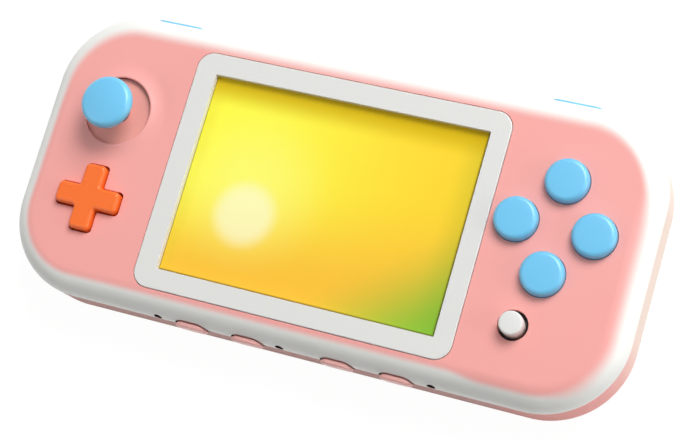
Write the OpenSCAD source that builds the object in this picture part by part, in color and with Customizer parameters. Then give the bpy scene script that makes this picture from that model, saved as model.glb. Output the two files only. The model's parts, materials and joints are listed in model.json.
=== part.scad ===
// Handheld game console lying on its back.
// The flat back rests on Z = 0, the screen faces +Z, the shoulder buttons face +Y.

/* [Casing] */
// Room for the controls between the circuit board and the front face
control_depth = 10.4; // [10.2:0.1:11.6]
// Radius of the four corners of the outline
corner_r = 21; // [17:0.5:24]
// Thickness of the moulded walls
wall = 1.8; // [1.5:0.1:2]
// Depth of the front shell, from the front face to the seam
front_h = 6.8; // [6.4:0.1:7.4]
// Rounding of the front edge
front_round = 6.2; // [5:0.1:6.3]
// Rounding of the back edge
back_round = 3.4; // [2.8:0.1:5]
// Height of the tongue that aligns the two shells
lip_h = 1.2; // [0.8:0.1:1.6]
// Thickness of the tongue that aligns the two shells
lip_t = 0.8; // [0.6:0.1:1]

/* [Layout of the face] */
// Plain face between the left side and the stick's rim
stick_side = 7.2; // [7:0.1:10]
// Plain face between the stick's rim and the bezel
stick_gap = 3.9; // [3.4:0.1:6]
// Plain face between the bezel and the nearest button
cluster_gap = 1.5; // [1.4:0.05:4]
// Plain face between the outermost button and the right side
cluster_side = 8.4; // [7.5:0.05:10]
// Plain face below the bezel
lower_band = 5.9; // [5.8:0.1:8]
// Plain face above the bezel
upper_band = 6.9; // [6.6:0.1:9]
// Height of the gap between the stick and the direction pad above the casing's middle
column_y = 1.1; // [0.6:0.1:1.4]
// Gap between the stick's rim and the direction pad
pad_gap = 1.5; // [1.2:0.1:2]
// How far the direction pad stands to the left of the stick
dpad_shift = 0.4; // [0:0.1:0.8]
// Gap between the lowest button and the hole round the nub
nub_gap = 4.1; // [3.8:0.05:4.6]
// How far the nub stands to the left of the middle of the buttons
nub_shift = 3.75; // [3:0.05:4.6]
// Distance of a shoulder button's middle from the side
shoulder_side = 27.3; // [26:0.1:28]

/* [Screen] */
// Width of the visible screen
screen_w = 72.9; // [66:0.1:80]
// Height of the visible screen
screen_h = 51.4; // [48:0.1:56]
// Width of the bezel to the left of the screen
bezel_left = 5.65; // [5:0.05:7]
// Width of the bezel to the right of the screen
bezel_right = 4.85; // [4.4:0.05:7]
// Width of the bezel below the screen
bezel_lower = 5.2; // [4.6:0.1:7]
// Width of the bezel above the screen
bezel_upper = 5.4; // [4.6:0.1:7]
// Corner radius of the bezel
bezel_r = 4.2; // [3:0.1:6]
// How far the bezel stands above the front face
bezel_proud = 0.2; // [0.1:0.05:0.4]
// Rounding of the bezel's outer edge
bezel_round = 0.3; // [0.2:0.05:0.5]
// Depth of the screen below the bezel
screen_recess = 1.6; // [1.2:0.1:1.8]
// Border of the display panel that the bezel covers
panel_border = 1.9; // [1.5:0.1:2.2]
// Thickness of the display panel
panel_t = 2; // [1.6:0.1:2.4]
// Thickness of the backlight
backlight_t = 1.4; // [1:0.1:1.6]
// Thickness of the sheet metal bracket behind the screen
bracket_t = 1; // [0.6:0.1:1.2]

/* [Face buttons] */
// Upward place of the middle of the four buttons
cluster_y = 5.5; // [4:0.25:7]
// Sideways distance of a button from the middle
cluster_dx = 9.55; // [9:0.05:9.6]
// Upward distance of a button from the middle
cluster_dy = 11.5; // [10.5:0.1:12]
// Diameter of a button
button_d = 10.7; // [9:0.1:11]
// How far a button stands above the front face
button_proud = 2.5; // [2:0.1:3.5]
// Rounding of a button's upper edge
button_round = 1.4; // [0.4:0.1:1.6]
// How far a button can be pressed
button_travel = 1.2; // [0.8:0.1:1.4]

/* [Direction pad] */
// Length of the cross from tip to tip
dpad_span = 17.1; // [16:0.1:18]
// Width of an arm
dpad_arm = 5.6; // [5.2:0.1:6.4]
// How far the cross stands above the front face
dpad_proud = 1.9; // [1.4:0.1:2.6]
// Rounding of the upper edges of the cross
dpad_round = 0.9; // [0.4:0.1:1.2]
// Radius of the corners at the tips
dpad_tip_r = 1.3; // [1:0.1:1.8]
// Gap between the cross and its hole
dpad_gap = 0.35; // [0.3:0.05:0.5]
// Radius of the ball that the cross rocks on
ball_r = 2; // [1.8:0.1:2.2]

/* [Thumb stick] */
// Diameter of the cap
cap_d = 13.3; // [12:0.1:15]
// Thickness of the cap
cap_h = 3.4; // [3:0.1:4]
// Height of the cap's top above the front face
cap_top = 9.6; // [9:0.1:10.4]
// Rounding of the cap's upper edge
cap_round = 1.6; // [0.5:0.1:1.8]
// Diameter of the stick's shaft
shaft_d = 4.4; // [4:0.1:4.6]
// Diameter of the well in the front face
well_d = 17.6; // [17:0.1:18.4]
// Outer diameter of the raised rim round the well
rim_d = 26.8; // [24:0.1:27.6]
// Height of the raised rim above the front face
rim_h = 0.8; // [0.7:0.1:1.4]
// Rounding of the well's edge
rim_lip = 0.6; // [0.4:0.1:0.7]
// Depth of the dust disc below the front face
disc_recess = 0.8; // [0.7:0.05:1]
// Thickness of the dust disc
disc_t = 0.8; // [0.6:0.1:0.9]
// Largest slide of the dust disc each way
disc_slide = 1.62; // [1.5:0.02:1.7]
// Side length of the stick's housing
module_w = 17; // [16:0.1:17.4]

/* [Nub] */
// Diameter of the nub's cap
nub_d = 5.8; // [5.6:0.1:6.8]
// Height of the nub above the front face
nub_proud = 3.2; // [2.8:0.1:4]
// Rounding of the nub's upper edge
nub_round = 0.8; // [0.4:0.1:1]
// Diameter of the nub's neck
nub_neck_d = 5.6; // [4.4:0.1:5.6]
// Diameter of the hole round the nub
nub_hole_d = 7.4; // [7:0.1:8]
// Side length of the nub's housing
nub_module_w = 9; // [8.6:0.1:9.4]

/* [Edge buttons] */
// Sideways place of the middle of the left pair
edge_left_x = -18.3; // [-19:0.1:-18]
// Sideways place of the middle of the right pair
edge_right_x = 20.6; // [20:0.1:21]
// Distance between the two buttons of a pair
edge_pitch = 15.2; // [14:0.1:15.6]
// Length of an edge button
edge_w = 8.3; // [7:0.1:8.6]
// Thickness of an edge button
edge_h = 5.6; // [4.4:0.1:5.8]
// How far an edge button stands out of the lower edge
edge_proud = 0.8; // [0.7:0.1:1.6]
// How far an edge button can be pressed
edge_travel = 0.6; // [0.4:0.1:0.7]
// Diameter of a sound hole in the lower edge
sound_d = 2.2; // [1.6:0.1:2.6]
// Sideways place of the left sound hole
sound_left_x = -34.8; // [-36:0.1:-34]
// Sideways place of the microphone hole
mic_x = -1.9; // [-3:0.1:0]
// Sideways place of the right sound hole
sound_right_x = 37.3; // [36.5:0.1:38]

/* [Shoulder buttons] */
// Length of a shoulder button
shoulder_w = 13.2; // [10:0.1:13.4]
// Thickness of a shoulder button
shoulder_h = 5.4; // [4.4:0.1:5.6]
// How far a shoulder button stands out of the upper edge
shoulder_proud = 0.45; // [0.4:0.05:1.2]
// How far a shoulder button can be pressed
shoulder_travel = 0.4; // [0.3:0.1:0.7]

/* [Inside] */
// Thickness of the circuit board
board_t = 1.6; // [1.2:0.1:1.6]
// Gap between the battery and the board above it
battery_gap = 0.8; // [0.6:0.1:1.2]
// Gap between the board's edge and the casing's wall
board_margin = 2.6; // [2.2:0.1:3]
// Width of the battery
battery_w = 62; // [50:1:64]
// Height of the battery
battery_h = 40; // [34:1:42]
// Thickness of the battery
battery_t = 5.4; // [4.4:0.1:5.6]
// Diameter of a casing screw's thread
screw_d = 2.2; // [2:0.1:2.4]
// Diameter of a casing screw's head
screw_head_d = 4.6; // [4.2:0.1:4.8]
// Height of a casing screw's head
screw_head_h = 1.8; // [1.4:0.1:2]

/* [Clearances] */
// Running clearance on the radius of a pin or ball
run_gap = 0.05; // [0.03:0.01:0.08]
// Gap round a face button in its hole
press_gap = 0.15; // [0.12:0.01:0.25]
// Gap round an edge button or shoulder button in its slot
slot_gap = 0.25; // [0.2:0.05:0.3]
// Gap between pieces that lie loosely together
loose_gap = 0.2; // [0.15:0.05:0.25]
// Gap between a retaining flange and its stop
stop_gap = 0.3; // [0.25:0.05:0.35]

/* [Hidden] */
$fn = 64;

// Colours
white_c = [0.93, 0.93, 0.91];
pink_c = [0.97, 0.68, 0.66];
blue_c = [0.49, 0.79, 0.95];
orange_c = [1, 0.47, 0.22];
bezel_c = [0.89, 0.89, 0.89];
steel_c = [0.72, 0.73, 0.75];
black_c = [0.13, 0.13, 0.14];
rubber_c = [0.3, 0.3, 0.32];
board_c = [0.1, 0.35, 0.2];

// Room left past a face so that a cut goes right through
over = 1;

// Size of the casing, from the pieces that it holds
bezel_w = bezel_left + screen_w + bezel_right;
bezel_h = bezel_lower + screen_h + bezel_upper;
left_panel = stick_side + rim_d + stick_gap;
right_panel = cluster_gap + button_d + 2 * cluster_dx + cluster_side;
body_w = left_panel + bezel_w + right_panel;
body_d = lower_band + bezel_h + upper_band;
edge_x = body_w / 2;
edge_y = body_d / 2;

// Levels of the casing
board_z = wall + battery_t + battery_gap;
board_top = board_z + board_t;
body_t = board_top + control_depth;
seam_z = body_t - front_h;
ceil_z = body_t - wall;

// Places of the controls and of the screen on the face
bezel_x = left_panel + bezel_w / 2 - edge_x;
bezel_y = lower_band + bezel_h / 2 - edge_y;
screen_x = bezel_x + (bezel_left - bezel_right) / 2;
screen_y = bezel_y + (bezel_lower - bezel_upper) / 2;
stick_x = stick_side + rim_d / 2 - edge_x;
stick_y = column_y + (dpad_span + pad_gap) / 2;
dpad_x = stick_x - dpad_shift;
dpad_y = column_y - (rim_d + pad_gap) / 2;
cluster_x = edge_x - cluster_side - button_d / 2 - cluster_dx;
nub_x = cluster_x - nub_shift;
nub_y = cluster_y - cluster_dy - button_d / 2 - nub_gap - nub_hole_d / 2;
shoulder_x = edge_x - shoulder_side;

// Places of the casing screws, with the last two rows between the controls and the edge
screw_inset_x = 10;
screw_inset_y = 13.9;
upper_screw_x = 37;
lower_screw_x = 46;
screw_edge = 6.2;
screw_places = concat(
    [for (sx = [-1, 1], sy = [-1, 1])
        [sx * (edge_x - screw_inset_x), sy * (edge_y - screw_inset_y)]],
    [for (sx = [-1, 1]) [sx * upper_screw_x, edge_y - screw_edge]],
    [for (sx = [-1, 1]) [sx * lower_screw_x, screw_edge - edge_y]]
);
boss_wall = 1.4;
boss_r = screw_d / 2 + boss_wall;
head_gap = 0.3;
sink_r = screw_head_d / 2 + head_gap;
sink_wall = 1;
sink_boss_r = sink_r + sink_wall;
head_z = 1;
sink_z = head_z + screw_head_h;
screw_bite = 5;
screw_tip = board_top + screw_bite;
driver_w = 0.7;
driver_h = 0.9;

// Screen stack
bezel_top = body_t + bezel_proud;
panel_top = bezel_top - screen_recess;
panel_w = screen_w + 2 * panel_border;
panel_h = screen_h + 2 * panel_border;
panel_z = panel_top - panel_t;
backlight_z = panel_z - backlight_t;
bracket_z = backlight_z - bracket_t;
ledge_t = 1.6;
ledge_z = panel_top - ledge_t;
ledge_w = 1.4;
bracket_inset = 0.3;
ear_reach = 4.6;
ear_w = 6;
ear_y = 20;
post_r = 2;
ear_places = [for (sx = [-1, 1], sy = [-1, 1])
    [screen_x + sx * (panel_w / 2 + ear_reach), screen_y + sy * ear_y]];
small_screw_r = 0.8;
small_head_r = 1.5;
small_head_h = 1.1;
small_bite = 2;

// Buttons on the front
flange_w = 0.6;
flange_t = 1;
flange_top = ceil_z - stop_gap;
plunger_r = 2.6;
dome_r = 3.4;
sheet_t = 0.8;
sheet_margin = 4.6;
dome_gap = 0.3;
plunger_drop = 4.5;
plunger_z = flange_top - plunger_drop;
button_places = [
    [cluster_x, cluster_y + cluster_dy],
    [cluster_x + cluster_dx, cluster_y],
    [cluster_x, cluster_y - cluster_dy],
    [cluster_x - cluster_dx, cluster_y]
];

// Direction pad
ball_depth = 3.5;
ball_z = body_t - ball_depth;
pad_rise = 0.9;
dpad_base = ball_z - pad_rise;
dpad_flange = 0.8;
peg_r = 1.4;
peg_out = 6.6;
peg_drop = 2.2;
pad_dome_r = 2.6;
pad_dome_gap = 0.8;
pad_sheet_rim = 0.5;
pad_sheet_r = 6;
cup_depth = 1.3;
post_top = ball_z - cup_depth;
dpad_post_r = 2.6;

// Thumb stick
cap_z = body_t + cap_top - cap_h;
pivot_lift = 3.4;
pivot_z = board_top + pivot_lift;
disc_top = body_t - disc_recess;
disc_z = disc_top - disc_t;
disc_cover = 0.75;
disc_r = well_d / 2 + disc_slide + disc_cover;
disc_reach = norm([disc_slide, disc_slide]);
disc_pocket_r = disc_r + disc_reach + stop_gap;
disc_pocket_top = disc_top + loose_gap;
disc_hole_gap = 0.8;
disc_hole_r = shaft_d / 2 + disc_hole_gap;
module_depth = 3.2;
module_top = body_t - module_depth;
module_wall = 1.2;
module_floor = 0.8;
module_lid = 0.8;
module_mouth_r = 6;
module_r = 1;
rail_t = 0.5;
guide_t = 0.7;
guide_z = module_top + stop_gap;
guide_w = 13;
guide_slot_w = shaft_d + 2.6;
guide_slot_h = shaft_d + 5.6;
disc_rib_t = 0.6;
disc_rib_l = 12;
disc_rib_h = disc_z - guide_z - loose_gap;
disc_rib_sink = 0.2;
rocker_x = 12.8;
rocker_y = 7.8;
rocker_t = 2.4;
rocker_window_x = 9.2;
rocker_window_y = shaft_d + 1;
pin_r = 1;
cross_pin_r = 0.8;
shaft_foot = 1.6;
cap_socket = 2.2;

// Nub
nub_cap_lift = 0.6;
nub_cap_z = body_t + nub_cap_lift;
nub_top = body_t + nub_proud;
nub_pivot_lift = 4.4;
nub_pivot_z = board_top + nub_pivot_lift;
nub_neck_depth = 2.8;
nub_neck_z = body_t - nub_neck_depth;
nub_stem_r = 1.2;
nub_module_depth = 3.4;
nub_module_top = body_t - nub_module_depth;
nub_wall = 0.9;
nub_mouth_r = 2.9;
nub_rocker_x = 6.2;
nub_rocker_y = 4.8;
nub_rocker_t = 1.8;
nub_window_x = 4.4;
nub_window_y = 2 * nub_stem_r + 0.6;
nub_pin_r = 0.6;
nub_cross_r = 0.5;
nub_foot = 1.2;
nub_socket = 1.4;

// Buttons in the edges
edge_r = 2.4;
edge_round = 0.6;
edge_z = seam_z + 0.2;
edge_flange = 0.6;
edge_flange_t = 1;
edge_seat = 1.6;
edge_seat_y = edge_y - wall - edge_seat;
edge_places = [
    edge_left_x - edge_pitch / 2, edge_left_x + edge_pitch / 2,
    edge_right_x - edge_pitch / 2, edge_right_x + edge_pitch / 2
];
shoulder_r = 2;
shoulder_round = 0.8;
shoulder_z = seam_z - 0.6;
shoulder_flange = 0.6;
shoulder_seat = 1.3;
shoulder_seat_y = edge_y - wall - shoulder_seat;
switch_gap = 0.3;
switch_w = 6;
switch_t = 2;
tip_r = 1.2;
tip_l = 0.6;
sound_z = seam_z + 1.8;
speaker_w = 8.6;
speaker_h = 5.6;
speaker_t = 2.4;
speaker_r = 1.5;
speaker_gap = 1.7;
speaker_y = wall + speaker_gap - edge_y;
speaker_side = 1.2;
mic_w = 4.6;

// Board, battery and sockets
board_r = corner_r - wall - board_margin;
lead_r = 0.6;
lead_z = wall + battery_t / 2;
rib_t = 1.2;
rib_h = battery_t / 2 - lead_r - stop_gap;
shield_w = 22;
shield_h = 20;
shield_t = 1.6;
shield_r = 1;
shield_y = 2;
ribbon_w = 18;
ribbon_t = 0.25;
ribbon_out = 0.35;
ribbon_foot = 6;
lead_y = 8;
lead_pitch = 2;
lead_out = 5;
plug_w = 3.6;
plug_h = 5.6;
plug_t = 2;
port_w = 9;
port_h = 3.2;
port_l = 7;
port_wall = 0.3;
port_back = 0.6;
port_inset = 0.2;
port_gap = 0.25;
tongue_w = 6.6;
tongue_t = 0.7;
tongue_l = 5;

// Flat outline with round corners
module round_rect(w, d, r) {
    square([w - 2 * r, d], center = true);
    square([w, d - 2 * r], center = true);
    for (sx = [-1, 1], sy = [-1, 1])
        translate([sx * (w / 2 - r), sy * (d / 2 - r)])
            circle(r);
}

// Plate with round corners, standing on the plane
module slab(w, d, h, r) {
    linear_extrude(h)
        round_rect(w, d, r);
}

// Half section of a disc whose upper edge is rounded
module edge_section(r, h, f) {
    square([r, h - f]);
    square([r - f, h]);
    translate([r - f, h - f])
        intersection() {
            circle(f);
            square(f);
        }
}

// Disc with a rounded upper edge
module round_disc(r, h, f) {
    rotate_extrude()
        edge_section(r, h, f);
}

// Block with round corners in plan and a rounded upper edge
module pillow(w, d, h, r, f) {
    half_w = w / 2 - r;
    half_d = d / 2 - r;
    translate([-half_w, -half_d, 0])
        cube([2 * half_w, 2 * half_d, h]);
    for (sx = [0, 1], sy = [0, 1])
        mirror([sx, 0, 0])
            mirror([0, sy, 0])
                translate([half_w, half_d, 0])
                    rotate_extrude(angle = 90)
                        edge_section(r, h, f);
    for (sx = [0, 1])
        mirror([sx, 0, 0])
            translate([half_w, half_d, 0])
                rotate([90, 0, 0])
                    linear_extrude(2 * half_d)
                        edge_section(r, h, f);
    for (sy = [0, 1])
        mirror([0, sy, 0])
            translate([-half_w, half_d, 0])
                rotate([90, 0, 90])
                    linear_extrude(2 * half_w)
                        edge_section(r, h, f);
}

// Turns a piece that stands up so that it points out of the lower edge
module to_lower_edge(x, y, z) {
    translate([x, y, z])
        rotate([90, 0, 0])
            children();
}

// Turns a piece that stands up so that it points out of the upper edge
module to_upper_edge(x, y, z) {
    translate([x, y, z])
        rotate([-90, 0, 0])
            children();
}

// Round bar along X through a point
module bar_x(r, l) {
    rotate([0, 90, 0])
        cylinder(r = r, h = l, center = true);
}

// Round bar along Y through a point
module bar_y(r, l) {
    rotate([90, 0, 0])
        cylinder(r = r, h = l, center = true);
}

// Slots that the edge buttons and shoulder buttons pass through, with room all round
module edge_slots(gap) {
    for (x = edge_places)
        to_lower_edge(x, -edge_seat_y, edge_z)
            slab(edge_w + 2 * gap, edge_h + 2 * gap, wall + edge_seat + over, edge_r + gap);
    for (sx = [-1, 1])
        to_upper_edge(sx * shoulder_x, shoulder_seat_y, shoulder_z)
            slab(shoulder_w + 2 * gap, shoulder_h + 2 * gap, wall + shoulder_seat + over, shoulder_r + gap);
}

// Raised rim round the stick's well, with a rounded inner lip and a flank that runs out flat
module stick_rim() {
    well_r = well_d / 2;
    steps = 12;
    crest = well_r + rim_lip;
    flank = rim_d / 2 - crest;
    lip = [for (i = [0:steps])
        let (a = 180 - 90 * i / steps)
        [crest + rim_lip * cos(a), rim_h - rim_lip + rim_lip * sin(a)]];
    slope = [for (i = [1:steps])
        let (s = i / steps)
        [crest + flank * s, rim_h * (1 + cos(180 * s)) / 2]];
    sunk = wall / 2;
    translate([stick_x, stick_y, body_t])
        rotate_extrude()
            polygon(concat([[well_r, -sunk]], lip, slope, [[rim_d / 2, -sunk]]));
}

module front_shell() {
    color(white_c)
        difference() {
            union() {
                difference() {
                    translate([0, 0, seam_z])
                        pillow(body_w, body_d, front_h, corner_r, front_round);
                    translate([0, 0, seam_z - over])
                        pillow(body_w - 2 * wall, body_d - 2 * wall, front_h - wall + over,
                            corner_r - wall, front_round - wall);
                }
                translate([bezel_x, bezel_y, ledge_z])
                    slab(bezel_w + 2 * ledge_w, bezel_h + 2 * ledge_w, ledge_t, bezel_r + ledge_w);
                for (p = screw_places)
                    translate([p[0], p[1], board_top])
                        cylinder(r = boss_r, h = ceil_z - board_top + wall / 2);
                for (p = ear_places)
                    translate([p[0], p[1], bracket_z + bracket_t])
                        cylinder(r = post_r, h = ceil_z - bracket_z - bracket_t);
                stick_rim();
            }
            // Seat of the bezel and window of the display
            translate([bezel_x, bezel_y, panel_top])
                slab(bezel_w + 2 * loose_gap, bezel_h + 2 * loose_gap, body_t, bezel_r + loose_gap);
            translate([screen_x, screen_y, ledge_z - over])
                slab(panel_w + 2 * loose_gap, panel_h + 2 * loose_gap, ledge_t + 2 * over, 1);
            // Holes for the controls
            for (p = button_places)
                translate([p[0], p[1], flange_top - flange_t - button_travel]) {
                    cylinder(r = button_d / 2 + press_gap, h = body_t);
                    cylinder(r = button_d / 2 + flange_w + press_gap,
                        h = ceil_z - flange_top + flange_t + button_travel);
                }
            translate([dpad_x, dpad_y, ceil_z - over]) {
                slab(dpad_span + 2 * dpad_gap, dpad_arm + 2 * dpad_gap, body_t, dpad_tip_r + dpad_gap);
                slab(dpad_arm + 2 * dpad_gap, dpad_span + 2 * dpad_gap, body_t, dpad_tip_r + dpad_gap);
            }
            translate([stick_x, stick_y, ceil_z - over]) {
                cylinder(d = well_d, h = body_t);
                cylinder(r = disc_pocket_r, h = disc_pocket_top - ceil_z + over);
            }
            translate([nub_x, nub_y, ceil_z - over])
                cylinder(d = nub_hole_d, h = body_t);
            edge_slots(slot_gap);
            // Sound holes in the lower edge
            for (x = [sound_left_x, sound_right_x, mic_x])
                to_lower_edge(x, wall + over - edge_y, sound_z)
                    cylinder(d = sound_d, h = wall + 2 * over);
            // Threaded holes for the screws
            for (p = screw_places)
                translate([p[0], p[1], board_top - over])
                    cylinder(r = screw_d / 2 + run_gap, h = screw_bite + 2 * over);
            for (p = ear_places)
                translate([p[0], p[1], bracket_z])
                    cylinder(r = small_screw_r + run_gap, h = bracket_t + small_bite + loose_gap);
            // Groove for the tongue of the rear shell
            difference() {
                translate([0, 0, seam_z - over])
                    slab(body_w - 2 * (wall - lip_t - loose_gap / 2), body_d - 2 * (wall - lip_t - loose_gap / 2),
                        lip_h + loose_gap + over, corner_r - wall + lip_t + loose_gap / 2);
                translate([0, 0, seam_z - 2 * over])
                    slab(body_w - 2 * (wall + loose_gap), body_d - 2 * (wall + loose_gap), lip_h + 4 * over,
                        corner_r - wall - loose_gap);
            }
        }
}

module rear_shell() {
    color(pink_c)
        difference() {
            union() {
                difference() {
                    union() {
                        translate([0, 0, seam_z])
                            mirror([0, 0, 1])
                                pillow(body_w, body_d, seam_z, corner_r, back_round);
                        // Tongue that runs inside the front shell
                        translate([0, 0, seam_z - lip_h])
                            slab(body_w - 2 * (wall - lip_t), body_d - 2 * (wall - lip_t), 2 * lip_h,
                                corner_r - wall + lip_t);
                    }
                    translate([0, 0, seam_z + lip_h + over])
                        mirror([0, 0, 1])
                            pillow(body_w - 2 * wall, body_d - 2 * wall, seam_z - wall + lip_h + over,
                                corner_r - wall, back_round - wall);
                }
                for (p = screw_places)
                    translate([p[0], p[1], wall / 2])
                        cylinder(r = sink_boss_r, h = board_z - wall / 2);
                // Ribs that hold the battery in place
                translate([0, 0, wall / 2])
                    difference() {
                        slab(battery_w + 2 * (rib_t + loose_gap), battery_h + 2 * (rib_t + loose_gap),
                            rib_h + wall / 2, rib_t);
                        translate([-battery_w / 2 - loose_gap, -battery_h / 2 - loose_gap, wall / 2])
                            cube([battery_w + 2 * loose_gap, battery_h + 2 * loose_gap, rib_h + over]);
                    }
            }
            for (p = screw_places)
                translate([p[0], p[1], -over]) {
                    cylinder(r = sink_r, h = sink_z + over);
                    cylinder(r = screw_d / 2 + loose_gap, h = body_t);
                }
            edge_slots(slot_gap);
            to_upper_edge(0, edge_y - wall - over, board_z - port_h / 2)
                slab(port_w + 2 * port_gap, port_h + 2 * port_gap, wall + 2 * over, port_h / 2);
        }
}

module screen_bezel() {
    color(bezel_c)
        difference() {
            translate([bezel_x, bezel_y, panel_top])
                pillow(bezel_w, bezel_h, screen_recess, bezel_r, bezel_round);
            translate([screen_x - screen_w / 2, screen_y - screen_h / 2, panel_top - over])
                cube([screen_w, screen_h, screen_recess + 2 * over]);
        }
}

module lcd_panel() {
    color("gold")
        translate([screen_x, screen_y, panel_z])
            slab(panel_w, panel_h, panel_t, 0.6);
}

module lcd_backlight() {
    color("whitesmoke")
        translate([screen_x, screen_y, backlight_z])
            slab(panel_w, panel_h, backlight_t, 0.6);
}

module screen_bracket() {
    color(steel_c)
        difference() {
            union() {
                translate([screen_x, screen_y, bracket_z])
                    slab(panel_w - 2 * bracket_inset, panel_h - 2 * bracket_inset, bracket_t, 1);
                for (sy = [-1, 1])
                    translate([screen_x, screen_y + sy * ear_y, bracket_z])
                        slab(panel_w + 2 * ear_reach + ear_w, ear_w, bracket_t, ear_w / 2 - 0.2);
            }
            for (p = ear_places)
                translate([p[0], p[1], bracket_z - over])
                    cylinder(r = small_screw_r + loose_gap, h = bracket_t + 2 * over);
        }
}

module bracket_screws() {
    color(steel_c)
        for (p = ear_places)
            translate([p[0], p[1], bracket_z]) {
                cylinder(r = small_screw_r, h = bracket_t + small_bite);
                translate([0, 0, -small_head_h])
                    cylinder(r = small_head_r, h = small_head_h);
            }
}

// Flat flex that leaves the top of the backlight, folds down and lies on the board
module lcd_ribbon() {
    top_y = screen_y + panel_h / 2;
    run_y = top_y + ribbon_out;
    start_z = backlight_z + backlight_t / 2;
    color("darkorange")
        translate([screen_x - ribbon_w / 2, 0, 0])
            rotate([90, 0, 90])
                linear_extrude(ribbon_w)
                    polygon([
                        [top_y, start_z], [top_y, start_z + ribbon_t], [run_y + ribbon_t, start_z + ribbon_t],
                        [run_y + ribbon_t, board_top], [run_y - ribbon_foot, board_top],
                        [run_y - ribbon_foot, board_top + ribbon_t], [run_y, board_top + ribbon_t],
                        [run_y, start_z]
                    ]);
}

module main_board() {
    board_w = body_w - 2 * (wall + board_margin);
    board_d = body_d - 2 * (wall + board_margin);
    color(board_c)
        difference() {
            translate([0, 0, board_z])
                slab(board_w, board_d, board_t, board_r);
            for (p = screw_places)
                translate([p[0], p[1], board_z - over])
                    cylinder(r = screw_d / 2 + loose_gap, h = board_t + 2 * over);
        }
}

module processor_shield() {
    color(steel_c)
        translate([0, shield_y, board_top])
            pillow(shield_w, shield_h, shield_t, shield_r, 0.3);
}

module battery() {
    color("silver")
        translate([0, 0, wall])
            pillow(battery_w, battery_h, battery_t, 2, 1.2);
}

// Two wires from the battery's end to a plug under the board
module battery_lead() {
    start_x = battery_w / 2;
    plug_x = start_x + lead_out;
    color("red") {
        for (sy = [-1, 1])
            translate([start_x, lead_y + sy * lead_pitch / 2, lead_z]) {
                rotate([0, 90, 0])
                    cylinder(r = lead_r, h = lead_out);
                translate([lead_out, 0, 0])
                    sphere(lead_r);
                translate([lead_out, 0, 0])
                    cylinder(r = lead_r, h = board_z - plug_t - lead_z);
            }
        translate([plug_x - plug_w / 2, lead_y - plug_h / 2, board_z - plug_t])
            cube([plug_w, plug_h, plug_t]);
    }
}

module button_membrane() {
    dome_h = plunger_z - button_travel - dome_gap - board_top;
    color(rubber_c) {
        translate([cluster_x, cluster_y, board_top])
            slab(2 * (cluster_dx + sheet_margin), 2 * (cluster_dy + sheet_margin), sheet_t, sheet_margin);
        for (p = button_places)
            translate([p[0], p[1], board_top])
                round_disc(dome_r, dome_h, 0.8);
    }
}

module dpad_membrane() {
    dome_h = dpad_base - peg_drop - pad_dome_gap - board_top;
    sheet_w = 2 * (peg_out + pad_dome_r + pad_sheet_rim);
    color(rubber_c)
        difference() {
            union() {
                translate([dpad_x, dpad_y, board_top])
                    slab(sheet_w, sheet_w, sheet_t, pad_sheet_r);
                for (a = [0:90:270])
                    translate([dpad_x + peg_out * cos(a), dpad_y + peg_out * sin(a), board_top])
                        round_disc(pad_dome_r, dome_h, 0.8);
            }
            translate([dpad_x, dpad_y, board_top - over])
                cylinder(r = dpad_post_r + loose_gap, h = sheet_t + 2 * over);
        }
}

// Round button with a retaining flange below the front wall and a plunger under it
module face_button(p) {
    color(blue_c)
        translate([p[0], p[1], 0]) {
            translate([0, 0, flange_top - flange_t])
                round_disc(button_d / 2, body_t + button_proud - flange_top + flange_t, button_round);
            translate([0, 0, flange_top - flange_t])
                cylinder(r = button_d / 2 + flange_w, h = flange_t);
            translate([0, 0, plunger_z])
                cylinder(r = plunger_r, h = flange_top - flange_t - plunger_z);
        }
}

module button_top() {
    face_button(button_places[0]);
}

module button_right() {
    face_button(button_places[1]);
}

module button_bottom() {
    face_button(button_places[2]);
}

module button_left() {
    face_button(button_places[3]);
}

// Section of a bar whose two upper edges are rounded in small flats
module bar_section(w, h, f) {
    steps = 4;
    right = [for (i = [0:steps])
        let (a = 90 * i / steps)
        [w / 2 - f + f * cos(a), h - f + f * sin(a)]];
    left = [for (i = [0:steps])
        let (a = 90 + 90 * i / steps)
        [f - w / 2 + f * cos(a), h - f + f * sin(a)]];
    polygon(concat([[-w / 2, 0], [w / 2, 0]], right, left));
}

// One bar of the cross with all its upper edges rounded
module cross_arm(w, d, h) {
    intersection() {
        slab(w, d, h, dpad_tip_r);
        translate([-w / 2, 0, 0])
            rotate([90, 0, 90])
                linear_extrude(w)
                    bar_section(d, h, dpad_round);
        translate([0, d / 2, 0])
            rotate([90, 0, 0])
                linear_extrude(d)
                    bar_section(w, h, dpad_round);
    }
}

module dpad() {
    rise = body_t + dpad_proud - dpad_base;
    color(orange_c)
        difference() {
            translate([dpad_x, dpad_y, dpad_base]) {
                cross_arm(dpad_span, dpad_arm, rise);
                cross_arm(dpad_arm, dpad_span, rise);
                slab(dpad_span + 2 * dpad_flange, dpad_arm + 2 * dpad_flange, flange_t, dpad_tip_r);
                slab(dpad_arm + 2 * dpad_flange, dpad_span + 2 * dpad_flange, flange_t, dpad_tip_r);
                for (a = [0:90:270])
                    translate([peg_out * cos(a), peg_out * sin(a), -peg_drop])
                        cylinder(r = peg_r, h = peg_drop);
            }
            translate([dpad_x, dpad_y, ball_z])
                sphere(ball_r + run_gap);
        }
}

module dpad_ball() {
    color(steel_c)
        translate([dpad_x, dpad_y, ball_z])
            sphere(ball_r);
}

// Post on the board with a cup for the ball
module dpad_post() {
    color(black_c)
        difference() {
            translate([dpad_x, dpad_y, board_top])
                cylinder(r = dpad_post_r, h = post_top - board_top);
            translate([dpad_x, dpad_y, ball_z])
                sphere(ball_r + run_gap);
        }
}

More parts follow.
